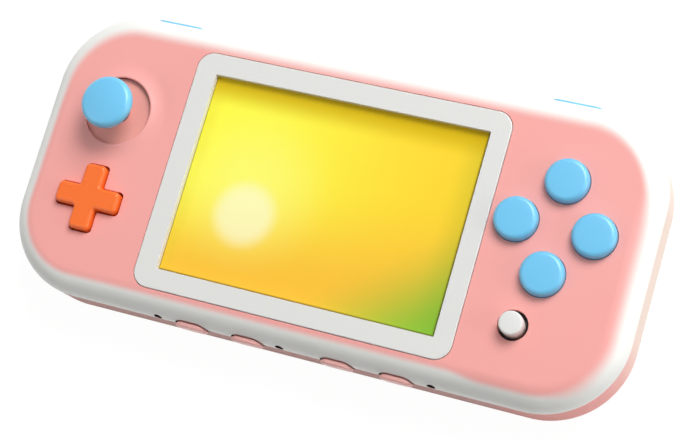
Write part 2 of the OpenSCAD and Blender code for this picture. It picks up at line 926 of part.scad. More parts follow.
module stick_cap() {
    color(blue_c)
        difference() {
            translate([stick_x, stick_y, cap_z])
                round_disc(cap_d / 2, cap_h, cap_round);
            translate([stick_x, stick_y, cap_z - over])
                cylinder(r = shaft_d / 2 + run_gap, h = cap_socket + over);
        }
}

// Shaft that turns on its cross pin inside the rocker
module stick_shaft() {
    color(black_c)
        translate([stick_x, stick_y, pivot_z]) {
            translate([0, 0, -shaft_foot])
                cylinder(d = shaft_d, h = cap_z + cap_socket - pivot_z + shaft_foot);
            bar_y(cross_pin_r, rocker_y);
        }
}

// Frame that turns on two pins in the housing and carries the shaft
module stick_rocker() {
    color(steel_c)
        translate([stick_x, stick_y, pivot_z])
            difference() {
                union() {
                    cube([rocker_x, rocker_y, rocker_t], center = true);
                    bar_x(pin_r, module_w);
                }
                cube([rocker_window_x, rocker_window_y, rocker_t + 2 * over], center = true);
                bar_y(cross_pin_r + run_gap, rocker_y + 2 * over);
            }
}

module stick_module() {
    inner_w = module_w - 2 * module_wall;
    color(steel_c)
        translate([stick_x, stick_y, board_top])
            difference() {
                union() {
                    slab(module_w, module_w, module_top - board_top, module_r);
                    for (sy = [-1, 1])
                        translate([0, sy * (module_w - rail_t) / 2, module_top - board_top + guide_t / 2])
                            cube([module_w - 2 * module_r, rail_t, guide_t + 0.4], center = true);
                }
                translate([-inner_w / 2, -inner_w / 2, module_floor])
                    cube([inner_w, inner_w, module_top - board_top - module_floor - module_lid]);
                translate([0, 0, module_floor])
                    cylinder(r = module_mouth_r, h = module_top);
                translate([0, 0, pivot_z - board_top])
                    bar_x(pin_r + run_gap, module_w + 2 * over);
            }
}

// Flat disc that hides the well's hole and slides with the shaft
module dust_disc() {
    rib_x = guide_w / 2 + run_gap + disc_rib_t / 2;
    color(pink_c)
        translate([stick_x, stick_y, disc_z])
            difference() {
                union() {
                    cylinder(r = disc_r, h = disc_t);
                    for (sx = [-1, 1])
                        translate([sx * rib_x - disc_rib_t / 2, -disc_rib_l / 2, -disc_rib_h])
                            cube([disc_rib_t, disc_rib_l, disc_rib_h + disc_rib_sink]);
                }
                translate([0, 0, -over])
                    cylinder(r = disc_hole_r, h = disc_t + 2 * over);
            }
}

// Plate that runs between the housing's rails and guides the dust disc across them
module dust_guide() {
    color(black_c)
        translate([stick_x, stick_y, guide_z])
            difference() {
                slab(guide_w, module_w - 2 * rail_t - 2 * run_gap, guide_t, module_r);
                translate([0, 0, -over])
                    slab(guide_slot_w, guide_slot_h, guide_t + 2 * over, guide_slot_w / 2 - 0.2);
            }
}

module nub_cap() {
    color(white_c)
        difference() {
            union() {
                translate([nub_x, nub_y, nub_cap_z])
                    round_disc(nub_d / 2, nub_top - nub_cap_z, nub_round);
                translate([nub_x, nub_y, nub_neck_z])
                    cylinder(d = nub_neck_d, h = nub_cap_z - nub_neck_z);
            }
            translate([nub_x, nub_y, nub_neck_z - over])
                cylinder(r = nub_stem_r + run_gap, h = nub_socket + over);
        }
}

module nub_shaft() {
    color(black_c)
        translate([nub_x, nub_y, nub_pivot_z]) {
            translate([0, 0, -nub_foot])
                cylinder(r = nub_stem_r, h = nub_neck_z + nub_socket - nub_pivot_z + nub_foot);
            bar_y(nub_cross_r, nub_rocker_y);
        }
}

module nub_rocker() {
    color(steel_c)
        translate([nub_x, nub_y, nub_pivot_z])
            difference() {
                union() {
                    cube([nub_rocker_x, nub_rocker_y, nub_rocker_t], center = true);
                    bar_x(nub_pin_r, nub_module_w);
                }
                cube([nub_window_x, nub_window_y, nub_rocker_t + 2 * over], center = true);
                bar_y(nub_cross_r + run_gap, nub_rocker_y + 2 * over);
            }
}

module nub_module() {
    inner_w = nub_module_w - 2 * nub_wall;
    color(steel_c)
        translate([nub_x, nub_y, board_top])
            difference() {
                slab(nub_module_w, nub_module_w, nub_module_top - board_top, module_r);
                translate([-inner_w / 2, -inner_w / 2, module_floor])
                    cube([inner_w, inner_w, nub_module_top - board_top - module_floor - module_lid]);
                translate([0, 0, module_floor])
                    cylinder(r = nub_mouth_r, h = nub_module_top);
                translate([0, 0, nub_pivot_z - board_top])
                    bar_x(nub_pin_r + run_gap, nub_module_w + 2 * over);
            }
}

// Button in the upper edge, with a wing at each end that stops it inside the wall
module shoulder_button(side) {
    color(blue_c)
        to_upper_edge(side * shoulder_x, shoulder_seat_y - edge_flange_t, shoulder_z) {
            pillow(shoulder_w, shoulder_h, edge_y + shoulder_proud - shoulder_seat_y + edge_flange_t,
                shoulder_r, shoulder_round);
            slab(shoulder_w + 2 * shoulder_flange, shoulder_h, edge_flange_t, shoulder_r);
        }
}

module shoulder_left() {
    shoulder_button(-1);
}

module shoulder_right() {
    shoulder_button(1);
}

// Upright switch on the board with its tip towards the button
module edge_switch(height) {
    translate([-switch_w / 2, -switch_t, 0])
        cube([switch_w, switch_t, height + tip_r + 0.6]);
    translate([0, tip_l, height])
        rotate([90, 0, 0])
            cylinder(r = tip_r, h = tip_l + 0.1);
}

module shoulder_switches() {
    tip_y = shoulder_seat_y - edge_flange_t - shoulder_travel - switch_gap;
    color(black_c)
        for (sx = [-1, 1])
            translate([sx * shoulder_x, tip_y - tip_l, board_top])
                edge_switch(shoulder_z - board_top);
}

// Pill-shaped button in the lower edge, with a flange that stops it inside the wall
module edge_button(x) {
    color(pink_c)
        to_lower_edge(x, edge_flange_t - edge_seat_y, edge_z) {
            pillow(edge_w, edge_h, edge_y + edge_proud - edge_seat_y + edge_flange_t, edge_r, edge_round);
            slab(edge_w + 2 * edge_flange, edge_h + 2 * edge_flange, edge_flange_t, edge_r);
        }
}

module power_button() {
    edge_button(edge_places[0]);
}

module select_button() {
    edge_button(edge_places[1]);
}

module start_button() {
    edge_button(edge_places[2]);
}

module menu_button() {
    edge_button(edge_places[3]);
}

module edge_switches() {
    tip_y = edge_flange_t + edge_travel + switch_gap - edge_seat_y;
    color(black_c)
        for (x = edge_places)
            translate([x, tip_y + tip_l, board_top])
                mirror([0, 1, 0])
                    edge_switch(edge_z - board_top);
}

// Sound piece that stands on the board's edge behind its hole
module sound_box(x, w) {
    color(black_c)
        to_lower_edge(x, speaker_y + speaker_t, board_top + speaker_h / 2)
            slab(w, speaker_h, speaker_t, speaker_r);
}

module speaker_left() {
    sound_box(sound_left_x - speaker_side, speaker_w);
}

module speaker_right() {
    sound_box(sound_right_x + speaker_side, speaker_w);
}

module microphone() {
    sound_box(mic_x, mic_w);
}

// Charging socket under the board with its mouth in the upper edge
module charge_port() {
    color(steel_c)
        to_upper_edge(0, edge_y - port_inset - port_l, board_z - port_h / 2) {
            difference() {
                slab(port_w, port_h, port_l, port_h / 2 - 0.1);
                translate([0, 0, port_back])
                    slab(port_w - 2 * port_wall, port_h - 2 * port_wall, port_l,
                        port_h / 2 - port_wall - 0.1);
            }
            translate([-tongue_w / 2, -tongue_t / 2, port_back / 2])
                cube([tongue_w, tongue_t, tongue_l]);
        }
}

module case_screws() {
    color(steel_c)
        for (p = screw_places)
            translate([p[0], p[1], 0])
                difference() {
                    union() {
                        translate([0, 0, head_z])
                            cylinder(d = screw_head_d, h = screw_head_h);
                        translate([0, 0, head_z + screw_head_h])
                            cylinder(d = screw_d, h = screw_tip - head_z - screw_head_h);
                    }
                    for (a = [0, 90])
                        rotate([0, 0, a])
                            translate([-screw_head_d / 3, -driver_w / 2, head_z - over])
                                cube([2 * screw_head_d / 3, driver_w, driver_h + over]);
                }
}

front_shell();
rear_shell();
screen_bezel();
lcd_panel();
lcd_backlight();
screen_bracket();
bracket_screws();
lcd_ribbon();
main_board();
processor_shield();
battery();
battery_lead();
button_membrane();
dpad_membrane();
button_top();
button_right();
button_bottom();
button_left();
dpad();
dpad_ball();
dpad_post();
stick_cap();
stick_shaft();
stick_rocker();
stick_module();
dust_disc();
dust_guide();
nub_cap();
nub_shaft();
nub_rocker();
nub_module();
shoulder_left();
shoulder_right();
shoulder_switches();
power_button();
select_button();
start_button();
menu_button();
edge_switches();
speaker_left();
speaker_right();
microphone();
charge_port();
case_screws();
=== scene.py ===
import bpy
import bmesh
import json
import math
from mathutils import Matrix, Vector


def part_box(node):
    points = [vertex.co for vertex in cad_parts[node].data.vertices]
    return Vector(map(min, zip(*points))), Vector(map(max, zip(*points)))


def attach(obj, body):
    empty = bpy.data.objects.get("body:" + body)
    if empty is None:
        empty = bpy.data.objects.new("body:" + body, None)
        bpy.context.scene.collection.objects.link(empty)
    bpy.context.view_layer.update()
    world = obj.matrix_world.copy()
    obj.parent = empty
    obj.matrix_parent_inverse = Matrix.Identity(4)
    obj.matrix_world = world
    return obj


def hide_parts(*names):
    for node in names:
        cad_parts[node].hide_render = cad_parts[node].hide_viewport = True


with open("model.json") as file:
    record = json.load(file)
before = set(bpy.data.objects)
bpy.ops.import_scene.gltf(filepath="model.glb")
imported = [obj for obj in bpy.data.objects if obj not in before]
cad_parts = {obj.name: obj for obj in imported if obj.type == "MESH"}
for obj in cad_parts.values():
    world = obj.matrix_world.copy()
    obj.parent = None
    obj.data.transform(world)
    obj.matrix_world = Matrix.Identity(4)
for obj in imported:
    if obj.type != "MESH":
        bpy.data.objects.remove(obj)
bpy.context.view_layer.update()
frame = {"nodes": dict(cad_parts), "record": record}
scene = bpy.context.scene
mm = 0.001
print("frame loaded:", len(frame["nodes"]), "nodes")


# sizes that several pieces share, in millimetres

casing = {
    "w": 161.0, "d": 74.8, "corner": 21.0, "top": 20.0, "seam": 13.2, "wall": 1.8,
    "frontRound": 6.2, "backRound": 3.4, "seamBreak": 0.14, "rimBreak": 0.12,
    "cornerSteps": 30, "frontSteps": 16, "backSteps": 12, "innerSteps": 8, "breakSteps": 2, "rimSteps": 3,
}
window = {"w": 72.9, "d": 51.4, "corner": 0.25, "edge": 0.12, "cornerSteps": 3}  # the bezel's opening


# mesh tools, all in millimetres until makeObject

closeBy = {"level": 1e-4, "ring": 1e-3, "weld": 1e-5, "finish": 1e-4, "seam": 0.004, "wall": 0.02,
           "inset": 0.01}  # what counts as the same place
steep, flat = 0.3, 0.99  # how far a wall's normal and a flat face's normal point along an axis
past = 1.0  # how far a cut goes past the face that it opens
creaseAngle = 40  # in degrees, where smooth shading stops


def roundCorners(bm, corners, size, steps):
    bmesh.ops.bevel(bm, geom=corners, offset=size, offset_type="OFFSET", segments=steps, profile=0.5,
                    affect="VERTICES", material=-1)
    return bm


def roundPlate(w, d, r, z=0, steps=10):
    bm = bmesh.new()
    bmesh.ops.create_grid(bm, x_segments=1, y_segments=1, size=0.5)
    bmesh.ops.scale(bm, vec=(w, d, 1), verts=bm.verts)
    return move(roundCorners(bm, bm.verts[:], r, steps), 0, 0, z)


def casingPlate(inset, z):  # the casing's outline, moved inwards
    c = casing
    return roundPlate(c["w"] - 2 * inset, c["d"] - 2 * inset, c["corner"] - inset, z, c["cornerSteps"])


def crossPlate(span, arm, tipRound, z=0, steps=5):
    bm = bmesh.new()
    bmesh.ops.create_grid(bm, x_segments=3, y_segments=3, size=1)
    for v in bm.verts:  # the two inner grid lines become the sides of the arms
        v.co.x = math.copysign((span if abs(v.co.x) > 0.5 else arm) / 2, v.co.x)
        v.co.y = math.copysign((span if abs(v.co.y) > 0.5 else arm) / 2, v.co.y)
    beside = [f for f in bm.faces if min(map(abs, f.calc_center_median().xy)) > arm / 2]
    bmesh.ops.delete(bm, geom=beside, context="FACES")
    bmesh.ops.dissolve_faces(bm, faces=bm.faces[:])
    tips = [v for v in bm.verts if max(abs(v.co.x), abs(v.co.y)) > span / 2 - closeBy["inset"]]
    return move(roundCorners(bm, tips, tipRound, steps), 0, 0, z)


def easeNooks(bm, arm, size, steps=5):  # rounds the four inner corners of a cross
    nooks = [v for v in bm.verts if max(abs(v.co.x), abs(v.co.y)) < arm / 2 + closeBy["inset"]]
    return roundCorners(bm, nooks, size, steps)


def move(bm, x, y, z):
    bmesh.ops.translate(bm, vec=(x, y, z), verts=bm.verts)
    return bm


def tilt(bm, degrees, x, y, z):  # turns about X, then moves
    turn = Matrix.Rotation(math.radians(degrees), 3, "X")
    bmesh.ops.rotate(bm, cent=(0, 0, 0), matrix=turn, verts=bm.verts)
    return move(bm, x, y, z)


def middle(node):  # centre of a node's box, in millimetres
    low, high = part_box(node)
    return (low + high) / 2 / mm


def over(bm, node):  # moves a shape to a node's centre in plan
    at = middle(node)
    return move(bm, at.x, at.y, 0)


def lift(bm, height):
    made = bmesh.ops.extrude_face_region(bm, geom=bm.faces[:])
    raised = [g for g in made["geom"] if isinstance(g, bmesh.types.BMVert)]
    bmesh.ops.translate(bm, vec=(0, 0, height), verts=raised)
    openEdges = [e for e in bm.edges if e.is_boundary]
    if openEdges:
        bmesh.ops.holes_fill(bm, edges=openEdges)
    bmesh.ops.recalc_face_normals(bm, faces=bm.faces)
    return bm


def edgesAt(bm, z):
    return [e for e in bm.edges if all(abs(v.co.z - z) < closeBy["level"] for v in e.verts)]


def onRing(item, r, slack, x=0, y=0):  # whether every corner of an edge or face is at radius r
    return all(abs(math.hypot(v.co.x - x, v.co.y - y) - r) < slack for v in item.verts)


def ringAt(bm, r, z):
    return [e for e in edgesAt(bm, z) if onRing(e, r, closeBy["ring"])]


def holeRims(bm, z):  # edges where a wall drops from the flat face at z
    rims = []
    for e in edgesAt(bm, z):
        if len(e.link_faces) == 2:
            up = sorted(abs(f.normal.z) for f in e.link_faces)
            if up[0] < steep and up[1] > flat:
                rims.append(e)
    return rims


def soften(bm, edges, size, steps):
    bmesh.ops.bevel(bm, geom=edges, offset=size, offset_type="OFFSET", segments=steps, profile=0.5,
                    affect="EDGES", material=-1, clamp_overlap=False)
    return bm


def pillow(w, d, h, r, edge, z=0, corners=10, steps=6):
    bm = lift(roundPlate(w, d, r, z, corners), h)
    return soften(bm, edgesAt(bm, z + h), edge, steps)


def drum(r, z, h, sides):
    bm = bmesh.new()
    bmesh.ops.create_cone(bm, cap_ends=True, segments=sides, radius1=r, radius2=r, depth=h,
                          matrix=Matrix.Translation((0, 0, z + h / 2)))
    return bm


def turned(points, steps):
    bm = bmesh.new()
    row = [bm.verts.new((r, 0, z)) for r, z in points]
    for a, b in zip(row, row[1:]):
        bm.edges.new((a, b))
    bmesh.ops.spin(bm, geom=bm.verts[:] + bm.edges[:], cent=(0, 0, 0), axis=(0, 0, 1), angle=2 * math.pi,
                   steps=steps, use_merge=True, use_duplicate=False)
    bmesh.ops.remove_doubles(bm, verts=bm.verts, dist=closeBy["weld"])
    bmesh.ops.recalc_face_normals(bm, faces=bm.faces)
    return bm


def join(first, *rest):
    for other in rest:
        mesh = bpy.data.meshes.new("joining")
        other.to_mesh(mesh)
        other.free()
        first.from_mesh(mesh)
        bpy.data.meshes.remove(mesh)
    return first


def carve(bm, tool, how="DIFFERENCE"):
    pair = []
    for name, shape in (("carved", bm), ("tool", tool)):
        mesh = bpy.data.meshes.new(name)
        bmesh.ops.recalc_face_normals(shape, faces=shape.faces)
        shape.to_mesh(mesh)
        shape.free()
        obj = bpy.data.objects.new(name, mesh)
        scene.collection.objects.link(obj)
        pair.append(obj)
    cut = pair[0].modifiers.new("cut", "BOOLEAN")
    cut.operation = how
    cut.solver = "EXACT"
    cut.object = pair[1]
    graph = bpy.context.evaluated_depsgraph_get()
    done = bpy.data.meshes.new_from_object(pair[0].evaluated_get(graph))
    result = bmesh.new()
    result.from_mesh(done)
    for obj in pair:
        mesh = obj.data
        bpy.data.objects.remove(obj)
        bpy.data.meshes.remove(mesh)
    bpy.data.meshes.remove(done)
    result.normal_update()
    return result


def makeObject(bm, name, material, inner=()):
    bmesh.ops.remove_doubles(bm, verts=bm.verts, dist=closeBy["finish"])
    bmesh.ops.recalc_face_normals(bm, faces=bm.faces)
    for f in bm.faces:
        f.smooth = True
    for e in bm.edges:
        e.smooth = len(e.link_faces) != 2 or e.calc_face_angle(0) < math.radians(creaseAngle)
    bmesh.ops.scale(bm, vec=(mm, mm, mm), verts=bm.verts)
    mesh = bpy.data.meshes.new(name)
    bm.to_mesh(mesh)
    bm.free()
    obj = bpy.data.objects.new(name, mesh)
    scene.collection.objects.link(obj)
    obj.data.materials.append(material)
    for extra in inner:  # faces with index 1 and up
        obj.data.materials.append(extra)
    even = obj.modifiers.new("evenShade", "WEIGHTED_NORMAL")
    even.keep_sharp = True
    return obj


def standFor(obj, node, body):
    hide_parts(node)
    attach(obj, body)


# shader tools

class Wire:
    def __init__(self, tree, socket=None):
        self.tree = tree
        self.socket = socket

    def node(self, kind, settings=None, inputs=None, out=0):
        made = self.tree.nodes.new("ShaderNode" + kind)
        for key, value in (settings or {}).items():
            setattr(made, key, value)
        for key, value in (inputs or {}).items():
            if isinstance(value, Wire):
                self.tree.links.new(value.socket, made.inputs[key])
            else:
                made.inputs[key].default_value = value
        return Wire(self.tree, made.outputs[out] if made.outputs else None)

    def math(self, operation, *others):
        return self.node("Math", {"operation": operation}, dict(enumerate((self,) + others)))

    def __add__(self, other):
        return self.math("ADD", other)

    def __radd__(self, other):
        return self.math("ADD", other)

    def __sub__(self, other):
        return self.math("SUBTRACT", other)

    def __rsub__(self, other):
        return self.node("Math", {"operation": "SUBTRACT"}, {0: other, 1: self})

    def __mul__(self, other):
        return self.math("MULTIPLY", other)

    def __rmul__(self, other):
        return self.math("MULTIPLY", other)

    def __truediv__(self, other):
        return self.math("DIVIDE", other)

    def __rtruediv__(self, other):
        return self.node("Math", {"operation": "DIVIDE"}, {0: other, 1: self})

    def __abs__(self):
        return self.math("ABSOLUTE")

    def atLeastZero(self):
        return self.math("MAXIMUM", 0.0)

    def step(self, low, high):  # smooth rise from 0 to 1
        return self.node("MapRange", {"interpolation_type": "SMOOTHSTEP"},
                         {"Value": self, "From Min": low, "From Max": high})

    def wave(self, length):  # from 0 to 1 and back, once in each length
        return (self * (2 * math.pi / length)).math("SINE") * 0.5 + 0.5

    def mix(self, a, b):  # this value chooses between two colours
        return self.node("Mix", {"data_type": "RGBA"}, {0: self, 6: a, 7: b}, 2)

    def parts(self):  # x, y and z of a vector
        made = self.node("SeparateXYZ", None, {0: self}).socket.node
        return [Wire(self.tree, made.outputs[i]) for i in range(3)]


def srgb(r, g, b):  # a screen colour as linear light
    shares = (r / 255, g / 255, b / 255)
    return tuple(c / 12.92 if c <= 0.04045 else ((c + 0.055) / 1.055) ** 2.4 for c in shares) + (1.0,)


def shade(colour, share):  # lighter or darker by a share
    return tuple(min(1, c * share) for c in colour[:3]) + (1.0,)


def startMaterial(name, **fixed):
    material = bpy.data.materials.new(name)
    material.use_nodes = True
    tree = material.node_tree
    tree.nodes.clear()
    root = Wire(tree)
    shader = root.node("BsdfPrincipled")
    root.node("OutputMaterial", None, {"Surface": shader})
    for key, value in fixed.items():
        shader.socket.node.inputs[key.replace("_", " ")].default_value = value
    return material, root, shader.socket.node


def feed(root, shader, **links):
    for key, value in links.items():
        root.tree.links.new(value.socket, shader.inputs[key.replace("_", " ")])


def coordinates(root):  # object position in millimetres
    place = root.node("TexCoord", None, None, "Object")
    scaled = root.node("VectorMath", {"operation": "SCALE"}, {0: place, "Scale": 1 / mm})
    return scaled, scaled.parts()


def noise(root, place, scale, detail=2.0, roughness=0.5):
    return root.node("TexNoise", {"noise_dimensions": "3D"},
                     {"Vector": place, "Scale": scale, "Detail": detail, "Roughness": roughness})


def blend(root, kind, a, b):
    return root.node("Mix", {"data_type": "RGBA", "blend_type": kind}, {0: 1.0, 6: a, 7: b}, 2)


def bumps(root, height, strength, depth):  # depth in millimetres
    return root.node("Bump", None, {"Strength": strength, "Distance": depth * mm, "Height": height})


# plastics: tint drift, rub marks and moulded grain

satin = {"drift": 0.05, "rub": 0.6, "grain": 5.0, "tint": 0.012, "rough": 0.40, "bump": 0.18, "shine": 0.45}
gloss = {"drift": 0.12, "rub": 0.9, "grain": 4.0, "tint": 0.010, "rough": 0.26, "bump": 0.08, "shine": 0.4}
polish = {"drift": 0.12, "rub": 0.9, "grain": 4.0, "tint": 0.010, "rough": 0.36, "bump": 0.05, "shine": 0.8}
soft = {"drift": 0.06, "rub": 0.6, "grain": 5.0, "tint": 0.012, "rough": 0.72, "bump": 0.2, "shine": 0.12}
matte = {"drift": 0.10, "rub": 0.8, "grain": 6.0, "tint": 0.020, "rough": 0.60, "bump": 0.30, "shine": 0.3}
rubSpread = 0.12  # how far the rub marks change the roughness
grainDepth = 0.02


def plasticSkin(root, shader, place, colour, finish):
    drift = noise(root, place, finish["drift"], detail=3.0)
    rub = noise(root, place, finish["rub"], detail=4.0, roughness=0.6)
    grain = noise(root, place, finish["grain"])
    tone = (0.5 - finish["tint"]) + drift * (2 * finish["tint"])
    toned = blend(root, "OVERLAY", colour, tone)
    rough = (finish["rough"] - rubSpread / 2) + rub * rubSpread
    bump = bumps(root, grain, finish["bump"], grainDepth)
    feed(root, shader, Base_Color=toned, Roughness=rough, Normal=bump)


def plasticMaterial(name, colour, finish):
    material, root, shader = startMaterial(name, Specular_IOR_Level=finish["shine"])
    place, _ = coordinates(root)
    plasticSkin(root, shader, place, colour, finish)
    return material


# sprayed shells; the rear one also carries a painted highlight and painted shade

shellPaint = {
    "white": srgb(244, 244, 240), "pink": srgb(248, 171, 165),
    "edge": 4.3, "blend": 0.95,  # where the sprayed pink ends, inwards from the outline, and how softly
    "upperEdge": 1.2, "upperY": (8.0, 30.0),  # it ends further in at the upper side
    "rightEdge": -1.1, "rightX": (62.0, 76.0), "rightY": (6.0, 28.0),  # and further out at the right
    "wideBlend": 0.95,  # added softness at these two sides
    "dip": 1.0, "dipX": (40.0, 50.0), "dipY": (-34.0, -24.0),  # it reaches lower near the lower right corner
    "mist": 0.25, "mistScale": 1.6,
}


def sprayedShell():
    p = shellPaint
    c = casing
    material, root, shader = startMaterial("sprayedShell", Specular_IOR_Level=satin["shine"])
    place, (x, y, _) = coordinates(root)
    acrossX = abs(x) - (c["w"] / 2 - c["corner"])
    acrossY = abs(y) - (c["d"] / 2 - c["corner"])
    outX, outY = acrossX.atLeastZero(), acrossY.atLeastZero()
    beyond = (outX * outX + outY * outY).math("SQRT")
    within = acrossX.math("MAXIMUM", acrossY).math("MINIMUM", 0.0)
    depth = c["corner"] - beyond - within  # how far in from the outline
    upper = y.step(*p["upperY"])
    right = x.step(*p["rightX"]) * (1 - y.step(*p["rightY"]))
    dip = x.step(*p["dipX"]) * (1 - y.step(*p["dipY"])) * p["dip"]
    mist = (noise(root, place, p["mistScale"], detail=4.0, roughness=0.7) - 0.5) * p["mist"]
    edge = upper * p["upperEdge"] + right * p["rightEdge"] + p["edge"]
    softness = upper.math("MAXIMUM", right) * p["wideBlend"] + p["blend"]
    pinkness = ((depth + dip + mist - edge) / softness).step(-1.0, 1.0)
    plasticSkin(root, shader, place, pinkness.mix(p["white"], p["pink"]), satin)
    return material


rearTonesAndPaintedLight = {
    "pink": srgb(254, 182, 177), "paintedHighlight": srgb(236, 217, 206), "paintedShade": srgb(220, 176, 171),
    "highlightX": (66.0, 79.0), "highlightY": (-32.0, -10.0),  # painted highlight: the paler, washed-out right flank comes in over these stretches
    "shadeX": (64.0, 44.0), "shadeY": (-30.0, -36.0),  # and the painted shade of the greyer lower flank over these
}


def sprayedRearWithPaintedLight():
    p = rearTonesAndPaintedLight
    material, root, shader = startMaterial("sprayedRearWithPaintedLight", Specular_IOR_Level=soft["shine"])
    place, (x, y, _) = coordinates(root)
    # painted highlight on the right flank and painted shade on the lower flank, over the pink
    right = x.step(*p["highlightX"]) * y.step(*p["highlightY"])
    low = x.step(*p["shadeX"]) * y.step(*p["shadeY"])
    colour = low.mix(right.mix(p["pink"], p["paintedHighlight"]), p["paintedShade"])
    plasticSkin(root, shader, place, colour, soft)
    return material


# the lit picture

screenGlow = {
    "left": srgb(254, 250, 76), "right": srgb(254, 218, 56), "sweep": (-26.0, 30.0),
    "low": srgb(252, 196, 62), "lowSlant": 0.12, "lowSweep": (-6.0, 22.0),
    "corner": srgb(138, 192, 60), "cornerLean": (0.62, 0.8), "cornerSweep": (18.0, 42.0),
    "halo": srgb(255, 255, 150), "haloAt": (-19.0, -0.5), "haloSweep": (3.0, 24.0), "haloShare": 0.4,
    "glow": srgb(255, 254, 214), "glowAt": (-18.8, -7.3), "glowSweep": (5.0, 10.0), "glowShare": 0.62,
    "sideShade": srgb(204, 192, 48), "rightFall": 8.0, "rightShare": 0.45, "leftFall": 5.0, "leftShare": 0.3,
    "topShade": srgb(214, 180, 16), "topFall": (1.5, 8.0), "topShare": 0.9,
    "border": srgb(96, 84, 20), "borderAt": (36.5, 35.95, 25.4),  # dark line: left, right, low
    "borderW": 0.5, "borderShare": 0.8,
    "pixel": 0.25, "pixelShare": 0.05, "pixelBump": 0.04, "pixelDepth": 0.02,
    "light": 0.05, "shine": 0.1, "rough": 0.16, "dust": 0.08, "dustScale": 0.8,
}


def screenPicture():
    p = screenGlow
    material, root, shader = startMaterial("screenPicture", Emission_Strength=p["light"],
                                           Specular_IOR_Level=p["shine"])
    place, (x, y, _) = coordinates(root)
    centre = middle("lcd_panel")
    u, v = x - centre.x, y - centre.y
    halfW, halfD = window["w"] / 2, window["d"] / 2

    def away(spot):
        du, dv = u - spot[0], v - spot[1]
        return (du * du + dv * dv).math("SQRT")

    colour = u.step(*p["sweep"]).mix(p["left"], p["right"])
    colour = (u * p["lowSlant"] - v).step(*p["lowSweep"]).mix(colour, p["low"])
    # painted shadow of the bezel along the right edge; the picture is also darker towards the left edge
    atRight = (1 - (halfW - u).step(0.0, p["rightFall"])) * p["rightShare"]
    atLeft = (1 - (halfW + u).step(0.0, p["leftFall"])) * p["leftShare"]
    colour = (atRight + atLeft).mix(colour, p["sideShade"])
    leanU, leanV = p["cornerLean"]
    colour = (u * leanU - v * leanV).step(*p["cornerSweep"]).mix(colour, p["corner"])
    halo = (1 - away(p["haloAt"]).step(*p["haloSweep"])) * p["haloShare"]
    core = (1 - away(p["glowAt"]).step(*p["glowSweep"])) * p["glowShare"]
    colour = core.mix(halo.mix(colour, p["halo"]), p["glow"])
    underTop = (1 - (halfD - v).step(*p["topFall"])) * p["topShare"]  # painted shadow of the bezel: the picture falls off towards the upper edge
    colour = underTop.mix(colour, p["topShade"])
    left, right, low = p["borderAt"]
    inwards = (left + u).math("MINIMUM", right - u).math("MINIMUM", low + v)
    border = (1 - inwards.step(0.0, p["borderW"])) * p["borderShare"]
    colour = border.mix(colour, p["border"])
    column, row = x.wave(p["pixel"]), y.wave(p["pixel"])
    lit = blend(root, "MULTIPLY", colour, 1 - column * row * p["pixelShare"])
    rough = p["rough"] + noise(root, place, p["dustScale"], detail=4.0) * p["dust"]
    bump = bumps(root, column, p["pixelBump"], p["pixelDepth"])
    feed(root, shader, Base_Color=lit, Emission_Color=lit, Roughness=rough, Normal=bump)
    return material


# finishes of the inner pieces

steelLook = {
    "dark": srgb(176, 178, 182), "light": srgb(204, 205, 208), "blotch": 0.25, "stretch": (0.3, 9.0, 3.0),
    "rough": 0.24, "spread": 0.22, "bump": 0.1, "depth": 0.01,
}
boardLook = {
    "base": srgb(22, 84, 50), "trace": srgb(40, 118, 72), "pad": srgb(206, 190, 150),
    "traceScale": 0.35, "traceW": 0.04, "padScale": 0.4, "padEdge": (0.1, 0.14),
    "coat": 0.3, "coatRough": 0.2, "rough": 0.34, "spread": 0.15, "roughScale": 1.0, "bump": 0.3,
    "depth": 0.03,
}
foilLook = {
    "dark": srgb(158, 160, 164), "light": srgb(214, 215, 216), "crease": 0.18, "metal": 0.85,
    "rough": 0.3, "spread": 0.2, "bump": 0.5, "depth": 0.3,
}
filmLook = {
    "base": srgb(168, 92, 28), "track": srgb(214, 142, 60), "pitch": 0.8, "trackEdge": (0.45, 0.6),
    "coat": 0.4, "coatRough": 0.15, "rough": 0.3, "spread": 0.15, "roughScale": 0.8, "bump": 0.3,
    "depth": 0.02,
}


def brushedSteel():
    p = steelLook
    material, root, shader = startMaterial("brushedSteel", Metallic=1.0)
    place, _ = coordinates(root)
    stretched = root.node("Mapping", None, {"Vector": place, "Scale": p["stretch"]})
    lines = noise(root, stretched, 1.0, detail=4.0, roughness=0.6)
    colour = noise(root, place, p["blotch"], detail=3.0).mix(p["dark"], p["light"])
    bump = bumps(root, lines, p["bump"], p["depth"])
    feed(root, shader, Base_Color=colour, Roughness=p["rough"] + lines * p["spread"], Normal=bump)
    return material


def boardLacquer():
    p = boardLook
    material, root, shader = startMaterial("boardLacquer", Coat_Weight=p["coat"],
                                           Coat_Roughness=p["coatRough"])
    place, _ = coordinates(root)
    traces = root.node("TexBrick", {"offset": 0.5, "squash": 0.7},
                       {"Vector": place, "Scale": p["traceScale"], "Mortar Size": p["traceW"]}, "Fac")
    pads = root.node("TexVoronoi", {"feature": "F1"}, {"Vector": place, "Scale": p["padScale"]})
    colour = (1 - pads.step(*p["padEdge"])).mix(traces.mix(p["base"], p["trace"]), p["pad"])
    rough = p["rough"] + noise(root, place, p["roughScale"]) * p["spread"]
    bump = bumps(root, traces, p["bump"], p["depth"])
    feed(root, shader, Base_Color=colour, Roughness=rough, Normal=bump)
    return material


def batteryFoil():
    p = foilLook
    material, root, shader = startMaterial("batteryFoil", Metallic=p["metal"])
    place, _ = coordinates(root)
    crease = noise(root, place, p["crease"], detail=5.0, roughness=0.6)
    bump = bumps(root, crease, p["bump"], p["depth"])
    feed(root, shader, Base_Color=crease.mix(p["dark"], p["light"]),
         Roughness=p["rough"] + crease * p["spread"], Normal=bump)
    return material


